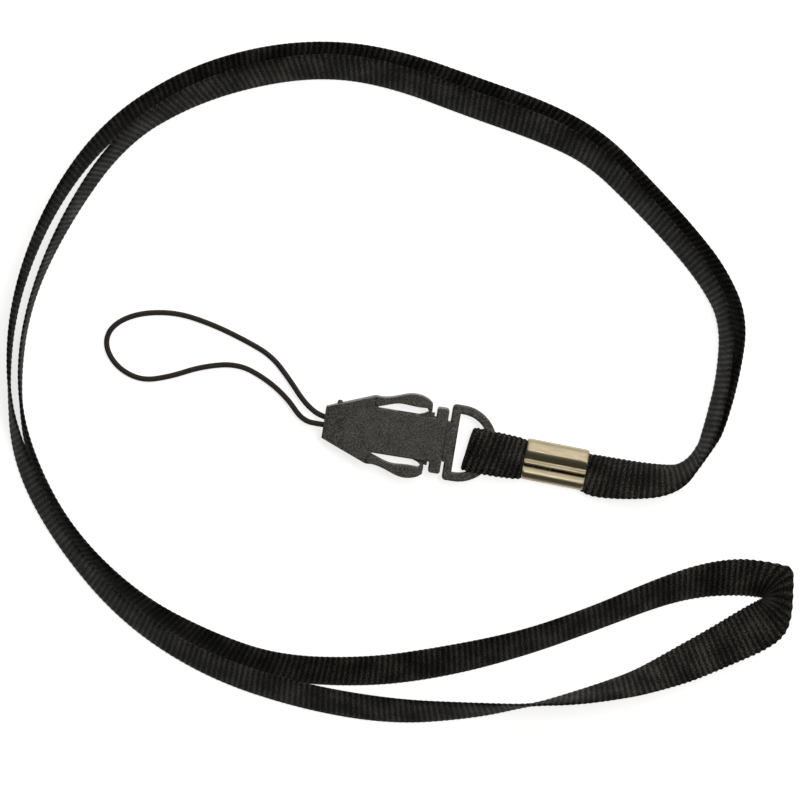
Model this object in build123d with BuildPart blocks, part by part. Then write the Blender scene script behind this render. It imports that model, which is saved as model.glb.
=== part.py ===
"""A neck lanyard: woven ribbon, metal crimp, two-part side-squeeze buckle and a thin cord loop.

The frame is the hardware's: the buckle lies along X with its string end at -X and the crimp at +X,
the ribbon's loop spreads round it in the XY plane, and everything rests on z = 0. Millimetres.
"""

from build123d import *
from math import cos, pi, radians, sin, tan
import os

# Ribbon
ribbon_width = 10.0
ribbon_thick = 0.9
layer_pitch = 0.95  # from one ribbon layer to the next inside the crimp
strap_turn = -2.0  # degrees, how far the strap's line turns from the buckle's
strap_y = -0.5  # where the strap's line crosses x = 0

# Crimp
crimp_start = 16.9
crimp_length = 15.0
crimp_width = 9.9
crimp_height = 4.0
crimp_wall = 0.5
crimp_radius = 1.2
crimp_inner_radius = 0.15
crimp_seam = -1.25  # where its two long edges meet, across from its middle
crimp_groove = 0.4
crimp_layer_width = 8.7  # the ribbon is gathered a little inside the crimp
layer_clearance = 0.05  # under the lowest ribbon layer in the crimp
ribbon_stub = 0.6  # how far each layer runs on past where it is joined

# Buckle, string half
string_end_x = -31.7
facet_x = -26.4
taper_end_x = -20.5
mouth_x = -2.6
flange_thick = 2.8
flange_half = 7.8
string_end_half = 3.75
taper_half = 8.1
body_half = 5.3
body_height = 5.4
facet_drop = 0.8
middle_z = body_height / 2
cavity_end_x = -18.8
cavity_half = 4.2
cavity_height = 3.0
window_start_x = -14.6
body_edge = 0.35
flange_corner = 0.6
knot_room = 4.6  # length of the hollow the knot sits in

# Squeeze arms
arm_root = (-19.4, 6.95)
arm_root_radius = 1.1
arm_height = 4.6
arm_edge = 0.25
arm_mark = (-11.0, 8.6)
arm_mark_radius = 0.95
arm_mark_height = 0.12
hook_start_x = -8.4
hook_end_x = -6.2
hook_height = 2.6  # low enough to dip into the window when the arm is squeezed
hook_inner_y = 6.0
hook_outer_y = 7.2

# Buckle, D-ring half
ring_start_x = -1.9
ring_bar = 2.1
ring_height = 2.6
ring_radius = 9.15
ring_centre_x = 0.8
ring_corner = 0.9
ring_edge = 0.5
shoulder_x = -2.05
shoulder_length = 0.9
shoulder_width = 9.6
shoulder_height = 3.4
guide_start_x = -5.2
guide_end_x = -2.2
guide_height = 2.7
guide_gap = 0.15
tongue_end_x = -18.0
tongue_width = 3.0
tongue_height = 2.4
head_length = 1.9
head_width = 7.0
head_corner = 0.6
barb_root = (-16.2, 2.6)
barb_root_radius = 0.7
barb_height = 2.2
pivot_gap = 0.06  # round the moving roots

# Fold of the strap round the D-ring's bar
fold_x = 4.05  # its round end
fold_start_x = 10.8  # where the two layers draw together towards the crimp
fold_top_z = 4.5
fold_base_z = 0.75

# Cord
cord_diameter = 1.3
cord_half_gap = 0.75  # from the buckle's line to each strand, where they go in
cord_entry_z = 3.0
cord_hole_height = 1.6
pin_x = -28.6
pin_diameter = 1.3
pin_z = 1.65
pin_reach = 5.7
pin_length = 9.9
pin_edge = 0.5
knot_x = -25.2
knot_radius = 1.6
knot_height = 2.8
knot_gap = 0.3

# Ribbon's route, one centreline for the whole length: x, y and the lean away from upright in degrees.
# It leaves the crimp flat, twists on to its edge, runs round, turns back at the far end of the loop
# and comes home inside itself.
ribbon_out = [
    (31.9, -1.65, 90),
    (37.7, -2.1, 75),
    (44.2, -1.95, 52),
    (50.6, -0.7, 26),
    (56.2, 3.6, 8),
]
ribbon_round = [
    (60.4, 12.4),
    (62.2, 26.0),
    (61.8, 40.0),
    (54.8, 49.9),
    (45.1, 58.2),
    (33.7, 66.9),
    (22.1, 75.4),
    (9.1, 79.9),
    (-7.9, 82.9),
    (-26.9, 86.4),
    (-43.0, 86.5),
    (-60.0, 82.5),
    (-76.9, 74.3),
    (-92.8, 61.2),
    (-103.8, 41.7),
    (-108.8, 18.1),
    (-107.5, -3.1),
    (-101.8, -21.1),
    (-89.4, -37.8),
    (-71.3, -53.3),
    (-50.5, -62.3),
    (-28.0, -66.1),
    (-5.0, -66.5),
    (14.0, -63.0),
    (27.2, -59.5),
    (38.5, -55.8),
    (49.6, -51.3),
    (62.4, -44.0),
    (70.3, -38.6),
    (78.0, -33.0),
    (82.4, -27.0),
    (81.4, -20.8),
    (77.4, -20.7),
    (72.1, -21.0),
    (63.2, -23.2),
    (53.4, -27.8),
    (40.1, -36.0),
    (24.1, -44.9),
    (6.0, -52.5),
    (-12.0, -58.0),
    (-33.0, -60.5),
    (-50.3, -57.1),
    (-69.4, -49.8),
    (-87.0, -36.0),
    (-99.1, -19.8),
    (-105.0, -2.5),
    (-105.3, 17.1),
    (-99.6, 38.1),
    (-89.6, 58.3),
    (-75.9, 71.0),
    (-59.1, 79.6),
    (-43.0, 83.9),
    (-27.4, 83.6),
    (-8.9, 79.9),
    (8.2, 77.1),
    (21.3, 72.8),
    (32.8, 64.6),
    (43.8, 56.3),
    (52.8, 48.0),
    (59.0, 39.0),
    (60.4, 26.0),
    (58.9, 13.2),
]
ribbon_back = [
    (55.3, 5.6, 8),
    (50.2, 0.2, 26),
    (44.2, -1.6, 52),
    (37.7, -2.0, 75),
    (31.9, -1.65, 90),
]

# The cord's route, from its knot out round the loop and back: x, y, z.
cord_floor_z = 0.66
cord_end_x = knot_x - 1.4  # inside the knot
cord_route = [
    (cord_end_x, cord_half_gap, cord_entry_z),
    (-32.0, cord_half_gap, cord_entry_z),
    (-36.8, 3.4, 2.1),
    (-41.5, 8.6, 1.1),
    (-46.6, 13.4, cord_floor_z),
    (-53.6, 16.1, cord_floor_z),
    (-61.6, 18.5, cord_floor_z),
    (-70.5, 20.0, cord_floor_z),
    (-79.5, 18.4, cord_floor_z),
    (-85.8, 14.6, cord_floor_z),
    (-87.0, 9.4, cord_floor_z),
    (-83.2, 4.4, cord_floor_z),
    (-76.4, 2.5, cord_floor_z),
    (-69.8, 4.5, cord_floor_z),
    (-62.5, 8.2, cord_floor_z),
    (-54.2, 10.2, cord_floor_z),
    (-47.2, 7.8, 0.8),
    (-41.6, 3.6, 1.3),
    (-37.0, -1.3, 2.1),
    (-32.0, -cord_half_gap, cord_entry_z),
    (cord_end_x, -cord_half_gap, cord_entry_z),
]


def bend_radii(points):
    """The largest radius that each inner point's two runs leave room for."""
    radii = []
    for before, here, after in zip(points, points[1:], points[2:]):
        run_in = Vector(*here) - Vector(*before)
        run_out = Vector(*after) - Vector(*here)
        half_turn = radians(run_in.get_angle(run_out)) / 2
        radii.append(0.45 * min(run_in.length, run_out.length) / tan(half_turn))
    return radii


def ribbon_planes(points, layer, outward):
    """Planes square to the ribbon as it twists, each with its X along the ribbon's width."""
    planes = []
    for index, (x, y, lean) in enumerate(points):
        before = points[max(index - 1, 0)]
        after = points[min(index + 1, len(points) - 1)]
        heading = Vector(after[0] - before[0], after[1] - before[1], 0).normalized()
        right = Vector(heading.Y, -heading.X, 0)
        upright, flat = cos(radians(lean)), sin(radians(lean))
        width_way = right * flat * outward + Vector(0, 0, upright)
        height = ribbon_width / 2 * upright + layer_z[layer] * flat
        planes.append(Plane(origin=(x, y, height), x_dir=width_way, z_dir=heading))
    return planes


strap_along = Vector(cos(radians(strap_turn)), sin(radians(strap_turn)), 0)
strap_across = Vector(-strap_along.Y, strap_along.X, 0)
strap_side = Plane(origin=(0, strap_y, 0), x_dir=strap_along, z_dir=-strap_across)
crimp_plane = Plane(
    origin=Vector(0, strap_y, 0) + strap_along * crimp_start, x_dir=strap_across, z_dir=strap_along
)
layer_z = [crimp_wall + layer_clearance + ribbon_thick / 2 + layer_pitch * layer for layer in range(3)]
os.makedirs("parts", exist_ok=True)

# String half: tapered end, flanged mouth, cavity for the tongue, windows for the barbs
with BuildPart() as socket_body:
    with BuildSketch(Plane.XY) as socket_outline:
        with BuildLine():
            Polyline(
                (string_end_x, 0),
                (string_end_x, string_end_half),
                (taper_end_x, taper_half),
                (arm_root[0], taper_half),
                (arm_root[0], body_half),
                (mouth_x, body_half),
                (mouth_x, 0),
            )
            mirror(about=Plane.XZ)
        make_face()
    extrude(amount=body_height)
    with BuildSketch(Plane.XY) as flange_outline:
        with Locations((mouth_x - flange_thick / 2, 0)):
            RectangleRounded(flange_thick, 2 * flange_half, radius=flange_corner)
            Rectangle(flange_thick, 2 * body_half)
    extrude(amount=body_height)
    rims = socket_body.edges().group_by(Axis.Z)
    fillet(rims[0] + rims[-1], radius=body_edge)
    with BuildSketch(Plane.XZ) as end_facets:
        for level, drop in ((body_height, -facet_drop), (0, facet_drop)):
            with BuildLine():
                Polyline((string_end_x, level), (facet_x, level), (string_end_x, level + drop), close=True)
            make_face()
    extrude(amount=taper_half, both=True, mode=Mode.SUBTRACT)
    with BuildSketch(Plane.XY) as arm_seats:
        for side in (1, -1):
            with Locations((arm_root[0], side * arm_root[1])):
                Circle(arm_root_radius + pivot_gap)
    extrude(amount=body_height, mode=Mode.SUBTRACT)
    with BuildSketch(Plane.XY.offset(middle_z - cavity_height / 2)) as cavity:
        with Locations(((cavity_end_x + mouth_x) / 2, 0)):
            Rectangle(mouth_x - cavity_end_x, 2 * cavity_half)
        with Locations(((window_start_x + mouth_x - flange_thick) / 2, 0)):
            Rectangle(mouth_x - flange_thick - window_start_x, 2 * body_half + 1)
        with Locations((knot_x, 0)):
            Rectangle(knot_room, 2 * knot_radius + 2 * knot_gap)
    extrude(amount=cavity_height, mode=Mode.SUBTRACT)
    with BuildSketch(Plane.YZ.offset(string_end_x)) as cord_hole:
        with Locations((0, cord_entry_z)):
            SlotOverall(2 * cord_half_gap + cord_hole_height, cord_hole_height)
    extrude(amount=knot_x - string_end_x, mode=Mode.SUBTRACT)
    with BuildSketch(Plane.XZ) as pin_hole:
        with Locations((pin_x, pin_z)):
            Circle(pin_diameter / 2)
    extrude(amount=taper_half, both=True, mode=Mode.SUBTRACT)
socket_body.part.label = "socket_body"
export_step(socket_body.part, "parts/socket_body.step")

# Squeeze arms: a round root, a swelling thumb pad and a small hook that reaches for the barb
for side, name in ((1, "squeeze_arm_left"), (-1, "squeeze_arm_right")):
    with BuildPart() as squeeze_arm:
        with BuildSketch(Plane.XY.offset(middle_z - arm_height / 2)) as arm_outline:
            with BuildLine():
                outer = Spline(
                    (arm_root[0] - 0.1, arm_root[1] + arm_root_radius),
                    (-15.0, 9.0),
                    (-11.5, 10.0),
                    (-7.6, 9.2),
                    tangents=((1, 0), (1, -0.55)),
                )
                hook = FilletPolyline(
                    outer @ 1,
                    (-6.7, 8.5),
                    (-6.6, 6.45),
                    (-7.4, 6.45),
                    (-7.9, 7.25),
                    (-9.8, 7.15),
                    radius=(0.3, 0.3, 0.2, 0.2),
                )
                inner = Spline(
                    hook @ 1,
                    (-14.6, 7.3),
                    (arm_root[0], arm_root[1] - arm_root_radius),
                    tangents=((-1, 0), (-1, -0.3)),
                )
                ThreePointArc(inner @ 1, (arm_root[0] - arm_root_radius, arm_root[1]), outer @ 0)
            make_face()
            if side < 0:
                mirror(about=Plane.XZ, mode=Mode.REPLACE)
        extrude(amount=arm_height)
        fillet(squeeze_arm.edges().filter_by(Plane.XY), radius=arm_edge)
        with BuildSketch(Plane.XY.offset(middle_z + arm_height / 2)) as ejector_mark:
            with Locations((arm_mark[0], side * arm_mark[1])):
                Circle(arm_mark_radius)
        extrude(amount=arm_mark_height)
        for level in (middle_z - arm_height / 2, middle_z + hook_height / 2):
            with BuildSketch(Plane.XY.offset(level)) as hook_trim:
                with Locations(((hook_start_x + hook_end_x) / 2, side * (hook_inner_y + hook_outer_y) / 2)):
                    Rectangle(hook_end_x - hook_start_x, hook_outer_y - hook_inner_y)
            extrude(amount=(arm_height - hook_height) / 2, mode=Mode.SUBTRACT)
    squeeze_arm.part.label = name
    export_step(squeeze_arm.part, f"parts/{name}.step")

# D-ring half: D-shaped ring, shoulder, guide block and tongue with a cross head
with BuildPart() as d_ring_half:
    with BuildSketch(Plane.XY.offset(middle_z - ring_height / 2)) as ring_outline:
        with Locations(((ring_start_x + ring_centre_x) / 2, 0)):
            Rectangle(ring_centre_x - ring_start_x, 2 * ring_radius)
        with Locations((ring_centre_x, 0)):
            Circle(ring_radius)
        with Locations((ring_start_x - ring_radius, 0)):
            Rectangle(2 * ring_radius, 2 * ring_radius, mode=Mode.SUBTRACT)
        fillet(ring_outline.vertices().group_by(Axis.X)[0], radius=ring_corner)
        with BuildLine():
            inner_radius = ring_radius - ring_bar
            window_arc = CenterArc((ring_centre_x, 0), inner_radius, -90, 180)
            Polyline(
                window_arc @ 1,
                (ring_start_x + ring_bar, inner_radius),
                (ring_start_x + ring_bar, -inner_radius),
                window_arc @ 0,
            )
        make_face(mode=Mode.SUBTRACT)
    extrude(amount=ring_height)
    fillet(d_ring_half.edges().filter_by(Plane.XY), radius=ring_edge)
    with BuildSketch(Plane.XY.offset(middle_z - shoulder_height / 2)) as shoulder:
        with Locations((shoulder_x, 0)):
            Rectangle(shoulder_length, shoulder_width)
    extrude(amount=shoulder_height)
    with BuildSketch(Plane.XY.offset(middle_z - guide_height / 2)) as guide_block:
        with Locations(((guide_start_x + guide_end_x) / 2, 0)):
            Rectangle(guide_end_x - guide_start_x, 2 * (cavity_half - guide_gap))
    extrude(amount=guide_height)
    with BuildSketch(Plane.XY.offset(middle_z - tongue_height / 2)) as tongue:
        with Locations(((tongue_end_x + guide_end_x) / 2, 0)):
            Rectangle(guide_end_x - tongue_end_x, tongue_width)
        with Locations((tongue_end_x + head_length / 2, 0)):
            RectangleRounded(head_length, head_width, radius=head_corner)
        for side in (1, -1):
            with Locations((barb_root[0], side * barb_root[1])):
                Circle(barb_root_radius + pivot_gap, mode=Mode.SUBTRACT)
    extrude(amount=tongue_height)
d_ring_half.part.label = "d_ring_half"
export_step(d_ring_half.part, "parts/d_ring_half.step")

# Spring barbs: they grow back towards the mouth and stand out behind the flange
for side, name in ((1, "latch_barb_left"), (-1, "latch_barb_right")):
    with BuildPart() as latch_barb:
        with BuildSketch(Plane.XY.offset(middle_z - barb_height / 2)) as barb_outline:
            with BuildLine():
                Polyline(
                    (barb_root[0], barb_root[1] + barb_root_radius),
                    (-8.4, 5.8),
                    (-7.6, 6.3),
                    (-5.9, 6.3),
                    (-5.9, 4.6),
                    (-8.2, 4.6),
                    (barb_root[0] + 1.4, barb_root[1] - 0.1),
                    (barb_root[0], barb_root[1] - barb_root_radius),
                    close=True,
                )
            make_face()
            with Locations(barb_root):
                Circle(barb_root_radius)
            if side < 0:
                mirror(about=Plane.XZ, mode=Mode.REPLACE)
        extrude(amount=barb_height)
    latch_barb.part.label = name
    export_step(latch_barb.part, f"parts/{name}.step")

# Cross pin with a rounded end that stands out of the taper
with BuildPart() as cord_pin:
    with BuildSketch(Plane.XZ.offset(-pin_reach)) as pin_section:
        with Locations((pin_x, pin_z)):
            Circle(pin_diameter / 2)
    extrude(amount=pin_length)
    fillet(cord_pin.edges().group_by(Axis.Y)[-1], radius=pin_edge)
cord_pin.part.label = "cord_pin"
export_step(cord_pin.part, "parts/cord_pin.step")

# Knot behind the pin: a ball with a flat top and base
with BuildPart() as cord_knot:
    with BuildSketch(Plane(origin=(knot_x, 0, middle_z), x_dir=(1, 0, 0), z_dir=(0, -1, 0))) as knot_section:
        with BuildLine():
            CenterArc((0, 0), knot_radius, -90, 180)
            Line((0, knot_radius), (0, -knot_radius))
        make_face()
        Rectangle(2 * knot_radius, knot_height, mode=Mode.INTERSECT)
    revolve(axis=Axis((knot_x, 0, middle_z), (0, 0, 1)))
cord_knot.part.label = "cord_knot"
export_step(cord_knot.part, "parts/cord_knot.step")

# Device cord: one strand out of the hole, round the loop and back in
cord_radii = bend_radii(cord_route)
with BuildPart() as device_cord:
    with BuildLine() as cord_line:
        FilletPolyline(*cord_route, radius=cord_radii)
    with BuildSketch(Plane(origin=cord_line.line @ 0, z_dir=cord_line.line % 0)) as cord_section:
        Circle(cord_diameter / 2)
    sweep()
device_cord.part.label = "device_cord"
export_step(device_cord.part, "parts/device_cord.step")

# Crimp: a sheet sleeve whose two long edges meet in a groove along its top, off the middle
with BuildPart() as crimp:
    with BuildSketch(crimp_plane) as crimp_section:
        with Locations((0, crimp_height / 2)):
            RectangleRounded(crimp_width, crimp_height, radius=crimp_radius)
            RectangleRounded(
                crimp_width - 2 * crimp_wall,
                crimp_height - 2 * crimp_wall,
                radius=crimp_inner_radius,
                mode=Mode.SUBTRACT,
            )
        with Locations((crimp_seam, crimp_height)):
            Circle(crimp_groove, mode=Mode.SUBTRACT)
    extrude(amount=crimp_length)
crimp.part.label = "crimp"
export_step(crimp.part, "parts/crimp.step")

# Strap loop: out of the crimp, over the D-ring's round bar, back under it and in again
fold_radius = (fold_top_z - fold_base_z) / 2 - 0.01
with BuildPart() as strap_loop:
    with BuildSketch(strap_side) as loop_profile:
        with BuildLine():
            FilletPolyline(
                (crimp_start, layer_z[2]),
                (crimp_start - 1.2, layer_z[2]),
                (fold_start_x, fold_top_z),
                (fold_x, fold_top_z),
                (fold_x, fold_base_z),
                (fold_start_x, fold_base_z),
                (crimp_start - 1.2, layer_z[0]),
                (crimp_start, layer_z[0]),
                radius=(2, 6, fold_radius, fold_radius, 6, 2),
            )
        trace(line_width=ribbon_thick)
    extrude(amount=ribbon_width / 2, both=True)
    with BuildSketch(strap_side) as gathered_layers:
        for length, level in ((crimp_length - 1, layer_z[2]), (ribbon_stub, layer_z[0])):
            with Locations((crimp_start + length / 2, level)):
                Rectangle(length, ribbon_thick)
    extrude(amount=crimp_layer_width / 2, both=True)
strap_loop.part.label = "strap_loop"
export_step(strap_loop.part, "parts/strap_loop.step")

# Neck strap: two flat layers in the crimp, twists up on to its edge and one upright band all the way round
band_route = [(x, y, ribbon_width / 2) for x, y in ribbon_round]
band_radii = bend_radii(band_route)
with BuildPart() as neck_strap:
    with BuildLine() as band_line:
        FilletPolyline(*band_route, radius=band_radii)
    band_start = Plane(origin=band_line.line @ 0, x_dir=(0, 0, 1), z_dir=band_line.line % 0)
    band_end = Plane(origin=band_line.line @ 1, x_dir=(0, 0, 1), z_dir=band_line.line % 1)
    with BuildSketch(band_start):
        Rectangle(ribbon_width, ribbon_thick)
    sweep()
    twist_out = ribbon_planes(ribbon_out, 1, 1) + [band_start]
    twist_back = [band_end] + ribbon_planes(ribbon_back, 0, -1)
    for twist in (twist_out, twist_back):
        for plane in twist:
            with BuildSketch(plane):
                Rectangle(ribbon_width, ribbon_thick)
        loft(ruled=True)
    ribbon_start = crimp_start + ribbon_stub
    ribbon_exit = crimp_start + crimp_length + ribbon_stub
    with BuildSketch(strap_side) as crimped_layers:
        for level in layer_z[:2]:
            with Locations(((ribbon_start + ribbon_exit) / 2, level)):
                Rectangle(ribbon_exit - ribbon_start, ribbon_thick)
    extrude(amount=crimp_layer_width / 2, both=True)
neck_strap.part.label = "neck_strap"
export_step(neck_strap.part, "parts/neck_strap.step")

print("cord radii", [round(radius, 1) for radius in cord_radii])
print("ribbon radii", [round(radius, 1) for radius in band_radii])
cord_volume = cord_line.wires()[0].length * pi * cord_diameter**2 / 4
band_volume = band_line.wires()[0].length * ribbon_width * ribbon_thick
print("cord length", round(cord_line.wires()[0].length, 1), "volume", device_cord.part.volume / cord_volume)
print("band length", round(band_line.wires()[0].length, 1), "volume", neck_strap.part.volume / band_volume)
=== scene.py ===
"""A black neck lanyard on a pale table: woven ribbon, metal crimp, side-squeeze buckle and cord loop.

Everything is in metres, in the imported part's own frame: the buckle lies along X, the table just under z = 0.
"""

from math import cos, exp, pi, radians, sin

import bpy
from mathutils import Matrix, Vector, noise


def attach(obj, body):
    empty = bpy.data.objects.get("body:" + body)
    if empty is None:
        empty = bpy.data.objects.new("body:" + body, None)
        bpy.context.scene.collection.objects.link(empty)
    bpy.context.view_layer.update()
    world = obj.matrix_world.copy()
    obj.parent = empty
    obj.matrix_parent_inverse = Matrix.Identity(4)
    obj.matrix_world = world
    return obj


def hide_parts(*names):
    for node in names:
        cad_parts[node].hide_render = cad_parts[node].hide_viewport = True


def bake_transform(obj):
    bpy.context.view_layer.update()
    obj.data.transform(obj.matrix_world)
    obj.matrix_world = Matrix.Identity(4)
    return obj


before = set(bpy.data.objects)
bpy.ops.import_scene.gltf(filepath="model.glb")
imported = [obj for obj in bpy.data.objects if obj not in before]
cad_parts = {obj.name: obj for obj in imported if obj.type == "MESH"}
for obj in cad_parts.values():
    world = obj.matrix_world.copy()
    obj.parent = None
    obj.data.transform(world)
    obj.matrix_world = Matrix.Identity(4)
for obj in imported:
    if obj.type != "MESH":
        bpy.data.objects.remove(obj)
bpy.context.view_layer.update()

# Ribbon
RIBBON_WIDTH = 0.010
RIBBON_THICK = 0.0008
RIB_PITCH = 0.00135
RIB_HEIGHT = 0.00005
RIB_SLANT = 0.9  # how far a rib runs on along the ribbon from one edge to the other, in pitches
SCALLOP = 0.022  # as a share of half the width
THREADS = 26  # in the ribbon's width
CRIMP_LAYERS = (0.0010, 0.00195, 0.0029)  # heights of the three ribbon layers in the crimp
TABLE_LAYER = 0.0005

# Strap line, crimp
STRAP_TURN = radians(-2.0)
STRAP_Y = -0.0005
LOOP_SAG = 0.00035  # how far the short loop lies off that line
CRIMP_START = 0.0169
CRIMP_LENGTH = 0.015
CRIMP_SHEET = 0.00045
CRIMP_MIDDLE = 0.002
END_CURL = 0.06  # how much smaller the section is at the crimp's cut ends, as a share
END_CURL_REACH = 0.0002
DENT_DEPTH = 0.00004
DENTS_ABOVE = 0.001  # the sheet below this height has none
DENTS_ALONG = 160  # per metre
DENTS_ACROSS = 260
RIM_UV_STEP = 0.02
GATHER = 0.8  # the ribbon's width inside the crimp, as a share

# Table
TABLE_HALF = 1.5  # half its side
TABLE_TOP = -0.0001  # just under z = 0, where the pieces lie

# Cord
CORD_DIAMETER = 0.0013
CORD_ENTRY = 0.0030
CORD_FLOOR = 0.00066
KNOT_X = -0.0252
BRAID_PITCH = 0.0042
BRAID_CARRIERS = 4
BRAID_DEPTH = 0.06  # as a share of the cord's radius

# The ribbon's route from the crimp out round the loop: x, y, and its lean to the right of travel in degrees
RIBBON_OUT = [
    (0.0240, -0.0015, 90),
    (0.0300, -0.0017, 90),
    (0.0336, -0.0026, 90),
    (0.0377, -0.0025, 73),
    (0.0442, -0.00195, 55),
    (0.0499, -0.0010, 43),
    (0.0540, 0.0008, 27),
    (0.0569, 0.0045, 11),
]
RIBBON_ROUND = [
    (0.0593, 0.0099, 14),
    (0.0607, 0.0134, 15),
    (0.0622, 0.0260, 15),
    (0.0618, 0.0400, 18),
    (0.0548, 0.0499, 26),
    (0.0451, 0.0582, 32),
    (0.0337, 0.0669, 33),
    (0.0221, 0.0754, 36),
    (0.0091, 0.0799, 40),
    (-0.0079, 0.0829, 41),
    (-0.0269, 0.0864, 40),
    (-0.0430, 0.0865, 40),
    (-0.0600, 0.0825, 38),
    (-0.0769, 0.0743, 33),
    (-0.0927, 0.0610, 21),
    (-0.1034, 0.0415, 12),
    (-0.1088, 0.0181, 4),
    (-0.1075, -0.0031, -4),
    (-0.1015, -0.0210, -30),
    (-0.0894, -0.0378, -28),
    (-0.0713, -0.0533, -33),
    (-0.0505, -0.0623, -42),
    (-0.0280, -0.0661, -47),
    (-0.0050, -0.0665, -48),
    (0.0140, -0.0630, -32),
    (0.0272, -0.0595, -12),
    (0.0385, -0.0558, 8),
]

# Where it turns back at the far end: its foot's x and y, then its brim's x, y and z
RIBBON_TURN = [
    (0.0483, -0.0496, 0.0509, -0.0529, 0.0092),
    (0.0530, -0.0465, 0.0570, -0.0505, 0.0086),
    (0.0599, -0.0409, 0.0648, -0.0472, 0.0068),
    (0.0674, -0.0349, 0.0732, -0.0422, 0.0054),
    (0.0742, -0.0290, 0.0817, -0.0371, 0.0038),
    (0.0774, -0.0265, 0.0855, -0.0327, 0.0048),
    (0.0786, -0.0256, 0.0859, -0.0274, 0.0062),
    (0.0789, -0.0255, 0.0851, -0.0215, 0.0066),
    (0.0789, -0.0254, 0.0847, -0.0182, 0.0060),
    (0.0789, -0.0254, 0.0840, -0.0164, 0.0055),
    (0.0786, -0.0254, 0.0819, -0.0161, 0.0052),
    (0.0778, -0.0254, 0.0770, -0.0160, 0.0048),
    (0.0734, -0.0256, 0.0708, -0.0164, 0.0046),
    (0.0644, -0.0274, 0.0620, -0.0190, 0.0060),
    (0.0551, -0.0312, 0.0518, -0.0243, 0.0075),
]

# And home inside itself
RIBBON_HOME = [
    (0.0401, -0.0360, 44),
    (0.0241, -0.0449, 46),
    (0.0060, -0.0525, 56),
    (-0.0120, -0.0580, 54),
    (-0.0330, -0.0605, 50),
    (-0.0503, -0.0571, 43),
    (-0.0694, -0.0498, 32),
    (-0.0873, -0.0362, 22),
    (-0.0994, -0.0199, 20),
    (-0.1050, -0.0025, 2),
    (-0.1053, 0.0171, 0),
    (-0.0996, 0.0381, -11),
    (-0.0898, 0.0585, -18),
    (-0.0759, 0.0710, -28),
    (-0.0591, 0.0796, -34),
    (-0.0430, 0.0839, -36),
    (-0.0274, 0.0836, -36),
    (-0.0089, 0.0799, -37),
    (0.0082, 0.0771, -40),
    (0.0213, 0.0728, -31),
    (0.0328, 0.0646, -27),
    (0.0438, 0.0563, -26),
    (0.0528, 0.0480, -22),
    (0.0590, 0.0390, -14),
    (0.0604, 0.0260, -13),
    (0.0597, 0.0149, -15),
]
RIBBON_BACK = [
    (0.0590, 0.0108, -13),
    (0.0581, 0.0069, -6),
    (0.0573, 0.0040, -2),
    (0.0541, 0.0009, -28),
    (0.0499, -0.0010, -46),
    (0.0442, -0.00195, -58),
    (0.0377, -0.0025, -75),
    (0.0336, -0.0026, -90),
    (0.0300, -0.0017, -90),
    (0.0240, -0.0015, -90),
]

# The strap's short loop round the D-ring: distance along the strap, height, skew of its width in degrees,
# and its width as a share
STRAP_LOOP = [
    (0.0245, 0.00290, 0, GATHER),
    (0.0180, 0.00290, 0, GATHER),
    (0.0162, 0.00300, 0, 0.97),
    (0.0141, 0.00330, 1, 1.0),
    (0.0116, 0.00440, 2, 1.02),
    (0.0082, 0.00475, 4, 1.03),
    (0.0058, 0.00430, 5, 1.04),
    (0.0037, 0.00400, 6.5, 1.04),
    (0.0031, 0.00250, 6.5, 1.04),
    (0.0039, 0.00100, 6, 1.04),
    (0.0070, 0.00080, 4, 1.03),
    (0.0109, 0.00080, 2, 1.02),
    (0.0145, 0.00095, 0, 1.0),
    (0.0162, 0.00100, 0, 0.97),
    (0.0180, 0.00100, 0, GATHER),
    (0.0245, 0.00100, 0, GATHER),
]

# The cord's route from its knot out of the string end, round the loop and back
CORD_ROUTE = [
    (KNOT_X - 0.0014, 0.00075, CORD_ENTRY),
    (-0.0320, 0.00075, CORD_ENTRY),
    (-0.0368, 0.0034, 0.0021),
    (-0.0415, 0.0086, 0.0011),
    (-0.0466, 0.0134, CORD_FLOOR),
    (-0.0536, 0.0161, CORD_FLOOR),
    (-0.0616, 0.0185, CORD_FLOOR),
    (-0.0705, 0.0200, CORD_FLOOR),
    (-0.0795, 0.0184, CORD_FLOOR),
    (-0.0853, 0.0145, CORD_FLOOR),
    (-0.0863, 0.0096, CORD_FLOOR),
    (-0.0827, 0.0048, CORD_FLOOR),
    (-0.0764, 0.0025, CORD_FLOOR),
    (-0.0698, 0.0045, CORD_FLOOR),
    (-0.0625, 0.0082, CORD_FLOOR),
    (-0.0542, 0.0102, CORD_FLOOR),
    (-0.0472, 0.0078, 0.0008),
    (-0.0412, 0.0040, 0.0013),
    (-0.0368, -0.0007, 0.0021),
    (-0.0320, -0.00075, CORD_ENTRY),
    (KNOT_X - 0.0014, -0.00075, CORD_ENTRY),
]

# The crimp's sheet, from one rolled lip round under the ribbon to the other: across, up
CRIMP_SECTION = [
    (-0.00118, 0.0024),
    (-0.00118, 0.0032),
    (-0.00112, 0.00368),
    (-0.00085, 0.00395),
    (-0.00045, 0.00383),
    (-0.00005, 0.00348),
    (0.00030, 0.00346),
    (0.00075, 0.00378),
    (0.00125, 0.00406),
    (0.00180, 0.00422),
    (0.00230, 0.00425),
    (0.00260, 0.00414),
    (0.00340, 0.00384),
    (0.00430, 0.00350),
    (0.00485, 0.0031),
    (0.00500, 0.0010),
    (0.00440, 0.00002),
    (0.0, 0.00002),
    (-0.00440, 0.00002),
    (-0.00500, 0.0010),
    (-0.00500, 0.0024),
    (-0.00480, 0.00310),
    (-0.00425, 0.00368),
    (-0.00365, 0.00404),
    (-0.00310, 0.00415),
    (-0.00260, 0.00402),
    (-0.00200, 0.00375),
    (-0.00170, 0.00352),
    (-0.00152, 0.0032),
    (-0.00148, 0.0024),
]


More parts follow.
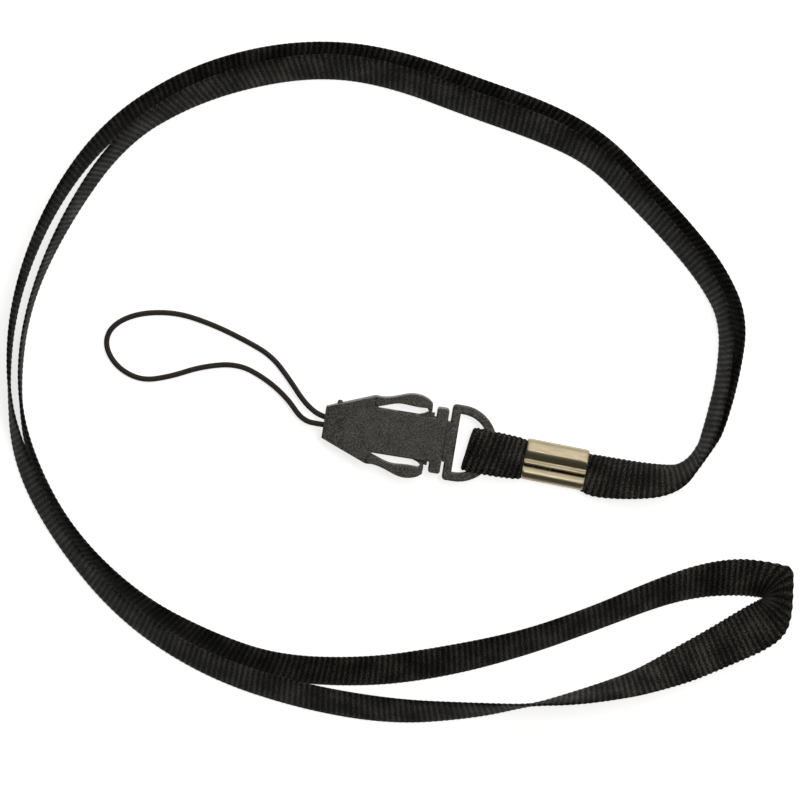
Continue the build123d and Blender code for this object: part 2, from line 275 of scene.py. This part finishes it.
def smooth(points, steps):
    """Points along the NURBS line that has these as its control points."""
    curve = bpy.data.curves.new("route", "CURVE")
    curve.dimensions = "3D"
    spline = curve.splines.new("NURBS")
    spline.points.add(len(points) - 1)
    for point, place in zip(spline.points, points):
        point.co = (*place, 1)
    spline.order_u = 3
    spline.use_endpoint_u = True
    spline.resolution_u = steps
    holder = bpy.data.objects.new("route", curve)
    mesh = bpy.data.meshes.new_from_object(holder)
    line = [vertex.co.copy() for vertex in mesh.vertices]
    bpy.data.objects.remove(holder)
    bpy.data.curves.remove(curve)
    bpy.data.meshes.remove(mesh)
    return line


def directions(line):
    """The unit heading at each point of a line."""
    ends = list(zip([line[0]] + line[:-1], line[1:] + [line[-1]]))
    return [(after - before).normalized() for before, after in ends]


def distances(line):
    """How far along the line each point is."""
    total = [0.0]
    for before, after in zip(line, line[1:]):
        total.append(total[-1] + (after - before).length)
    return total


def solid_ends(count, uvs):
    """One face over each end of a skin, as its corners and their uvs."""
    ends = []
    for ring, order in ((0, range(count - 1, -1, -1)), (len(uvs) - 1, range(count))):
        ends.append(([ring * count + side for side in order], [uvs[ring][side] for side in order]))
    return ends


def sheet_ends(count, uvs):
    """Quads between the outer and inner skins at both cut ends of a sheet, as corners and their uvs."""
    ends = []
    for ring in (0, len(uvs) - 1):
        base = ring * count
        for side in range(count // 2 - 1):
            quad = [base + side, base + count - 1 - side, base + count - 2 - side, base + side + 1]
            ends.append((quad if ring == 0 else quad[::-1], [(side * RIM_UV_STEP, 0.5)] * 4))
    return ends


def add_mesh(name, rings, material, uvs, ends=solid_ends):
    """A skin through closed rings of points. uvs has (across, along) at a ring's points, the first twice."""
    count = len(rings[0])
    vertices = [point for ring in rings for point in ring]
    faces = []
    corner_uvs = []
    for ring in range(len(rings) - 1):
        for side in range(count):
            here = ring * count
            above = here + count
            after = (side + 1) % count
            faces.append((here + side, here + after, above + after, above + side))
            corner_uvs += [uvs[ring][side], uvs[ring][side + 1], uvs[ring + 1][side + 1], uvs[ring + 1][side]]
    for corners, places in ends(count, uvs):
        faces.append(corners)
        corner_uvs += places
    mesh = bpy.data.meshes.new(name)
    mesh.from_pydata(vertices, [], faces)
    layer = mesh.uv_layers.new(name="UVMap")
    for corner, uv in zip(layer.data, corner_uvs):
        corner.uv = uv
    mesh.validate()
    mesh.shade_smooth()
    mesh.materials.append(material)
    piece = bpy.data.objects.new(name, mesh)
    bpy.context.scene.collection.objects.link(piece)
    return piece


# Materials


def new_material(name, **inputs):
    """A Principled material with these inputs, its node tree and its shader."""
    material = bpy.data.materials.new(name)
    material.use_nodes = True
    shader = material.node_tree.nodes["Principled BSDF"]
    for label, value in inputs.items():
        shader.inputs[label.replace("_", " ")].default_value = value
    return material, material.node_tree, shader


def add_node(tree, kind, settings=(), **inputs):
    """A node with its settings and inputs; an input that is a socket is linked."""
    node = tree.nodes.new(kind)
    for label, value in settings:
        setattr(node, label, value)
    for label, value in inputs.items():
        socket = node.inputs[int(label[1:])] if label[0] == "_" else node.inputs[label.replace("_", " ")]
        if isinstance(value, bpy.types.NodeSocket):
            tree.links.new(value, socket)
        else:
            socket.default_value = value
    return node


def calculate(tree, operation, first, second=0.0, third=0.0):
    """A Math node's result."""
    settings = [("operation", operation)]
    return add_node(tree, "ShaderNodeMath", settings, _0=first, _1=second, _2=third).outputs[0]


def speckle(tree, vector, scale, detail, roughness=0.5):
    """A noise texture's grey."""
    settings = {"Vector": vector, "Scale": scale, "Detail": detail, "Roughness": roughness}
    return add_node(tree, "ShaderNodeTexNoise", **settings).outputs["Fac"]


def ramp(tree, factor, stops):
    """A colour ramp's result; stops are (place, grey or colour)."""
    node = add_node(tree, "ShaderNodeValToRGB", Fac=factor)
    elements = node.color_ramp.elements
    while len(elements) < len(stops):
        elements.new(0.5)
    for element, (place, shade) in zip(elements, stops):
        element.position = place
        element.color = (*shade, 1) if isinstance(shade, tuple) else (shade, shade, shade, 1)
    return node.outputs["Color"]


def wave(tree, coordinate, per_unit):
    """0 to 1 and back, this many times per unit of a coordinate."""
    turned = calculate(tree, "MULTIPLY", coordinate, 2 * pi * per_unit)
    swing = calculate(tree, "SINE", turned)
    return calculate(tree, "MULTIPLY_ADD", swing, 0.5, 0.5)


def woven_ribbon():
    """Near-black polyester ribbon: slanting cross ribs with painted shade in their grooves, a fibrous mottle,
    and a fine weave in the bump.
    """
    material, tree, shader = new_material(
        "woven_ribbon", Roughness=0.7, Specular_IOR_Level=0.05, Sheen_Weight=0.01, Sheen_Roughness=0.3
    )
    shader.inputs["Sheen Tint"].default_value = (0.75, 0.78, 0.72, 1)
    uv = add_node(tree, "ShaderNodeUVMap", [("uv_map", "UVMap")]).outputs["UV"]
    split = add_node(tree, "ShaderNodeSeparateXYZ", Vector=uv)
    across, along = split.outputs["X"], split.outputs["Y"]
    from_edge = calculate(tree, "ABSOLUTE", calculate(tree, "SUBTRACT", across, 1.0))
    slant = calculate(tree, "MULTIPLY", from_edge, -RIB_SLANT)
    rib_bump_and_groove_shade = wave(tree, calculate(tree, "MULTIPLY_ADD", along, RIBBON_WIDTH / RIB_PITCH, slant), 1)
    weave = calculate(tree, "MULTIPLY", wave(tree, across, THREADS), wave(tree, along, THREADS))
    fuzz = speckle(tree, uv, 26.0, 4.0, 0.7)
    patches = calculate(tree, "MULTIPLY", speckle(tree, uv, 1.6, 2.0), 0.25)
    threads = calculate(tree, "MULTIPLY_ADD", fuzz, 0.65, patches)
    # The rib wave darkens the colour in the grooves between ribs, as painted shade, and also raises the ribs
    # in the bump.
    shade = calculate(tree, "MULTIPLY_ADD", rib_bump_and_groove_shade, 0.1, threads)
    tones = [(0.37, (0.003, 0.0026, 0.003)), (0.5, (0.019, 0.018, 0.0175)), (0.62, (0.11, 0.11, 0.095))]
    colour = ramp(tree, shade, tones)
    tree.links.new(colour, shader.inputs["Base Color"])
    height = calculate(tree, "MULTIPLY_ADD", weave, 0.5, shade)
    bump = add_node(tree, "ShaderNodeBump", Strength=0.9, Distance=0.00018, Height=height)
    tree.links.new(bump.outputs["Normal"], shader.inputs["Normal"])
    return material


def braided_cord():
    """Dark yarn with a warm, fine mottle and no braid pattern of its own."""
    material, tree, shader = new_material(
        "braided_cord", Roughness=0.6, Specular_IOR_Level=0.1, Sheen_Weight=0.02, Sheen_Roughness=0.4
    )
    uv = add_node(tree, "ShaderNodeUVMap", [("uv_map", "UVMap")]).outputs["UV"]
    fuzz = speckle(tree, uv, 14.0, 4.0, 0.7)
    colour = ramp(tree, fuzz, [(0.35, (0.012, 0.0105, 0.009)), (0.65, (0.09, 0.08, 0.068))])
    tree.links.new(colour, shader.inputs["Base Color"])
    bump = add_node(tree, "ShaderNodeBump", Strength=0.8, Distance=0.0001, Height=fuzz)
    tree.links.new(bump.outputs["Normal"], shader.inputs["Normal"])
    return material


def moulded_plastic(name, dark, pale, roughness):
    """Charcoal moulding with a fine spark-eroded grain, a little paler in patches."""
    material, tree, shader = new_material(name, Roughness=roughness, Specular_IOR_Level=0.5)
    place = add_node(tree, "ShaderNodeTexCoord").outputs["Object"]
    grain = speckle(tree, place, 2600.0, 3.0, 0.6)
    mottle = speckle(tree, place, 420.0, 3.0, 0.6)
    shade = calculate(tree, "MULTIPLY_ADD", grain, 0.8, calculate(tree, "MULTIPLY", mottle, 0.2))
    colour = ramp(tree, shade, [(0.4, dark), (0.68, pale)])
    tree.links.new(colour, shader.inputs["Base Color"])
    gloss = ramp(tree, mottle, [(0.3, roughness - 0.06), (0.7, roughness + 0.08)])
    tree.links.new(gloss, shader.inputs["Roughness"])
    bump = add_node(tree, "ShaderNodeBump", Strength=0.35, Distance=0.00006, Height=grain)
    tree.links.new(bump.outputs["Normal"], shader.inputs["Normal"])
    return material


def plated_metal():
    """Warm nickel plate with drawn streaks along the crimp and fine nicks across it."""
    material, tree, shader = new_material("plated_metal", Metallic=1.0, Roughness=0.3)
    uv = add_node(tree, "ShaderNodeUVMap", [("uv_map", "UVMap")]).outputs["UV"]
    drawn = add_node(tree, "ShaderNodeMapping", Vector=uv, Scale=(26.0, 0.9, 1.0)).outputs["Vector"]
    streaks = speckle(tree, drawn, 3.0, 5.0, 0.7)
    crossed = add_node(tree, "ShaderNodeMapping", Vector=uv, Scale=(1.3, 22.0, 1.0)).outputs["Vector"]
    cuts = ramp(tree, speckle(tree, crossed, 2.0, 3.0), [(0.66, 0.0), (0.72, 1.0)])
    tones = [(0.25, (0.32, 0.26, 0.155)), (0.5, (0.46, 0.4, 0.275)), (0.8, (0.6, 0.54, 0.4))]
    colour = ramp(tree, streaks, tones)
    tree.links.new(colour, shader.inputs["Base Color"])
    gloss = ramp(tree, streaks, [(0.2, 0.44), (0.8, 0.3)])
    tree.links.new(gloss, shader.inputs["Roughness"])
    height = calculate(tree, "MULTIPLY_ADD", cuts, -0.8, streaks)
    bump = add_node(tree, "ShaderNodeBump", Strength=0.3, Distance=0.00005, Height=height)
    tree.links.new(bump.outputs["Normal"], shader.inputs["Normal"])
    return material


# Pieces


def ribbon_piece(name, line, reaches, material):
    """A ribbon along a line, ribbed on both faces, with scalloped edges. Reaches are its half widths."""
    faces_across = (-0.94, -0.62, -0.22, 0.22, 0.62, 0.94)
    half_thick = RIBBON_THICK / 2
    headings = directions(line)
    rings = []
    uvs = []
    for centre, reach, heading, travelled in zip(line, reaches, headings, distances(line)):
        upward = heading.cross(reach).normalized()
        phase = 2 * pi * travelled / RIB_PITCH
        edge = 1 + SCALLOP * cos(phase)
        ring = [centre - reach * edge]
        for side, order in ((1, faces_across), (-1, faces_across[::-1])):
            for share in order:
                slack = phase + RIB_SLANT * pi * share
                lift = half_thick * (1 - share**8) ** 0.5 + RIB_HEIGHT * cos(slack)
                ring.append(centre + reach * share + upward * (side * lift))
            if side > 0:
                ring.append(centre + reach * edge)
        rings.append(ring)
        along = travelled / RIBBON_WIDTH
        spread = [0.0] + [share / 2 + 0.5 for share in faces_across] + [1.0]
        spread += [1.5 - share / 2 for share in faces_across[::-1]] + [2.0]
        uvs.append([(place, along) for place in spread])
    return add_mesh(name, rings, material, uvs)


def leaning(points):
    """Centres and half widths, foot to brim, of a ribbon that leans to the right of travel."""
    headings = directions([Vector((x, y, 0)) for x, y, lean, layer in points])
    controls = []
    for heading, (x, y, lean, layer) in zip(headings, points):
        flat, upright = sin(radians(lean)), cos(radians(lean))
        gather = GATHER if x < CRIMP_START + CRIMP_LENGTH and abs(lean) == 90 else 1
        reach = Vector((heading.y * flat, -heading.x * flat, upright)) * RIBBON_WIDTH / 2 * gather
        height = reach.z + layer * (1 - upright)
        controls.append((Vector((x, y, max(height, layer))), reach))
    return controls


def neck_ribbon(material):
    """The long doubled loop, one ribbon from the crimp right round and back to the crimp."""
    outward = [(*point, CRIMP_LAYERS[1]) for point in RIBBON_OUT]
    outward += [(*point, TABLE_LAYER) for point in RIBBON_ROUND]
    homeward = [(*point, TABLE_LAYER) for point in RIBBON_HOME]
    homeward += [(*point, CRIMP_LAYERS[0]) for point in RIBBON_BACK]
    turn = []
    for foot_x, foot_y, *brim in RIBBON_TURN:
        foot = Vector((foot_x, foot_y, TABLE_LAYER))
        turn.append(((Vector(brim) + foot) / 2, (Vector(brim) - foot) / 2))
    controls = leaning(outward) + turn + leaning(homeward)
    steps = 72
    line = smooth([centre for centre, reach in controls], steps)
    reaches = smooth([reach for centre, reach in controls], steps)
    piece = ribbon_piece("neck_ribbon", line, reaches, material)
    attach(piece, "strap")
    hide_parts("neck_strap")


def strap_ways():
    """The directions along the strap's short straight part and across it."""
    along_way = Vector((cos(STRAP_TURN), sin(STRAP_TURN), 0))
    return along_way, Vector((-along_way.y, along_way.x, 0))


def ring_ribbon(material):
    """The short loop that holds the D-ring, folded round its bar."""
    along_way, across_way = strap_ways()
    start = Vector((0, STRAP_Y - LOOP_SAG, 0))
    steps = 40
    centres = [start + along_way * along + Vector((0, 0, up)) for along, up, skew, share in STRAP_LOOP]
    line = smooth(centres, steps)
    reaches = smooth(
        [
            (across_way + along_way * sin(radians(skew))) * share * RIBBON_WIDTH / 2
            for along, up, skew, share in STRAP_LOOP
        ],
        steps,
    )
    piece = ribbon_piece("ring_ribbon", line, reaches, material)
    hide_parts("strap_loop")
    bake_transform(piece)


def crimp_sleeve(material):
    """The crimp: sheet rolled round the ribbon, its two long edges turned down into a groove."""
    along_way, across_way = strap_ways()
    outer = smooth([(across, up, 0) for across, up in CRIMP_SECTION], 10)
    inner = []
    for point, heading in zip(outer, directions(outer)):
        inward = Vector((heading.y, -heading.x, 0))
        inner.append(point + inward * CRIMP_SHEET)
    section = outer + inner[::-1]
    around = [travelled / CRIMP_LENGTH for travelled in distances(section + section[:1])]
    rings = []
    uvs = []
    stations = 51
    for index in range(stations):
        share = 0.5 - 0.5 * cos(pi * index / (stations - 1))
        along = CRIMP_START + CRIMP_LENGTH * share
        origin = Vector((0, STRAP_Y, 0)) + along_way * along
        from_end = CRIMP_LENGTH * min(share, 1 - share)
        curl = 1 - END_CURL * exp(-from_end / END_CURL_REACH)
        ring = []
        for point in section:
            up = CRIMP_MIDDLE + (point.y - CRIMP_MIDDLE) * curl
            if up > DENTS_ABOVE:
                up += noise.noise(Vector((along * DENTS_ALONG, point.x * DENTS_ACROSS, 3.0))) * DENT_DEPTH
            ring.append(origin + across_way * (point.x * curl) + Vector((0, 0, up)))
        rings.append(ring)
        uvs.append([(place, share) for place in around])
    piece = add_mesh("crimp_sleeve", rings, material, uvs, sheet_ends)
    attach(piece, "strap")
    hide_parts("crimp")


def cord_loop(material):
    """The thin cord, out of the string end, round and back in, with a faint ripple to suggest its braid."""
    line = smooth(CORD_ROUTE, 60)
    around = 20
    rings = []
    uvs = []
    upright = Vector((0, 0, 1))
    for centre, heading, travelled in zip(line, directions(line), distances(line)):
        side = heading.cross(upright).normalized()
        rise = side.cross(heading).normalized()
        twist = 2 * pi * travelled / BRAID_PITCH
        ring = []
        for step in range(around):
            angle = 2 * pi * step / around
            weave = cos(BRAID_CARRIERS * (angle + twist)) * cos(BRAID_CARRIERS * (angle - twist))
            radius = CORD_DIAMETER / 2 * (0.98 + BRAID_DEPTH * weave)
            ring.append(centre + (side * cos(angle) + rise * sin(angle)) * radius)
        rings.append(ring)
        uvs.append([(step / around * 3, travelled / CORD_DIAMETER) for step in range(around + 1)])
    piece = add_mesh("cord_loop", rings, material, uvs)
    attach(piece, "socket")
    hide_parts("device_cord")


def paint(node, material):
    """Gives a CAD node its material."""
    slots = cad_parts[node].data.materials
    slots.clear()
    slots.append(material)


# Stage


def table_and_light():
    """A white table that gives off light itself, a broad window beyond the loop and a narrow lamp above."""
    material, tree, shader = new_material("table", Roughness=0.9, Specular_IOR_Level=0.1)
    shader.inputs["Base Color"].default_value = (0.93, 0.93, 0.93, 1)
    shader.inputs["Emission Color"].default_value = (1, 1, 1, 1)
    shader.inputs["Emission Strength"].default_value = 0.75
    corners = [(x * TABLE_HALF, y * TABLE_HALF, TABLE_TOP) for x, y in ((-1, -1), (1, -1), (1, 1), (-1, 1))]
    mesh = bpy.data.meshes.new("table")
    mesh.from_pydata(corners, [], [(0, 1, 2, 3)])
    mesh.materials.append(material)
    table = bpy.data.objects.new("table", mesh)
    bpy.context.scene.collection.objects.link(table)

    world = bpy.data.worlds.new("studio")
    world.use_nodes = True
    world.node_tree.nodes["Background"].inputs["Color"].default_value = (1.0, 0.98, 0.95, 1)
    world.node_tree.nodes["Background"].inputs["Strength"].default_value = 0.07
    bpy.context.scene.world = world

    for name, place, width, height, power in (
        ("window", (0.1, 1.0, 0.75), 1.8, 1.2, 6.0),
        ("lamp", (0.3, 0.25, 1.0), 0.8, 0.16, 2.9),
    ):
        light = bpy.data.lights.new(name, "AREA")
        light.shape = "RECTANGLE"
        light.size = width
        light.size_y = height
        light.energy = power
        light.color = (1.0, 0.97, 0.92)
        lamp = bpy.data.objects.new(name, light)
        lamp.location = place
        lamp.rotation_euler = (-Vector(place)).to_track_quat("-Z", "Y").to_euler()
        bpy.context.scene.collection.objects.link(lamp)


def photographer():
    """Nearly overhead, 5 degrees over to the far side, and turned so the buckle lies slightly downhill."""
    target = Vector((-0.01463, 0.00798, 0.0027))
    distance = 0.794
    roll = radians(9.2)
    tip = radians(95)
    right = Vector((cos(roll), sin(roll), 0))
    far = Vector((-sin(roll), cos(roll), 0))
    up = far * sin(tip) + Vector((0, 0, cos(tip)))
    back = -far * cos(tip) + Vector((0, 0, sin(tip)))
    data = bpy.data.cameras.new("camera")
    data.lens = 150
    data.sensor_width = 36
    camera = bpy.data.objects.new("camera", data)
    turned = Matrix((right, up, back)).transposed().to_4x4()
    camera.matrix_world = Matrix.Translation(target + back * distance) @ turned
    bpy.context.scene.collection.objects.link(camera)
    bpy.context.scene.camera = camera
    bpy.context.scene.view_settings.view_transform = "Standard"


photographer()
table_and_light()

ribbon_cloth = woven_ribbon()
cord_braid = braided_cord()
plastic = moulded_plastic("charcoal_plastic", (0.018, 0.0175, 0.0162), (0.21, 0.198, 0.18), 0.5)

neck_ribbon(ribbon_cloth)
ring_ribbon(ribbon_cloth)
crimp_sleeve(plated_metal())
cord_loop(cord_braid)
for node in (
    "socket_body",
    "squeeze_arm_left",
    "squeeze_arm_right",
    "d_ring_half",
    "latch_barb_left",
    "latch_barb_right",
    "cord_pin",
):
    paint(node, plastic)
paint("cord_knot", cord_braid)
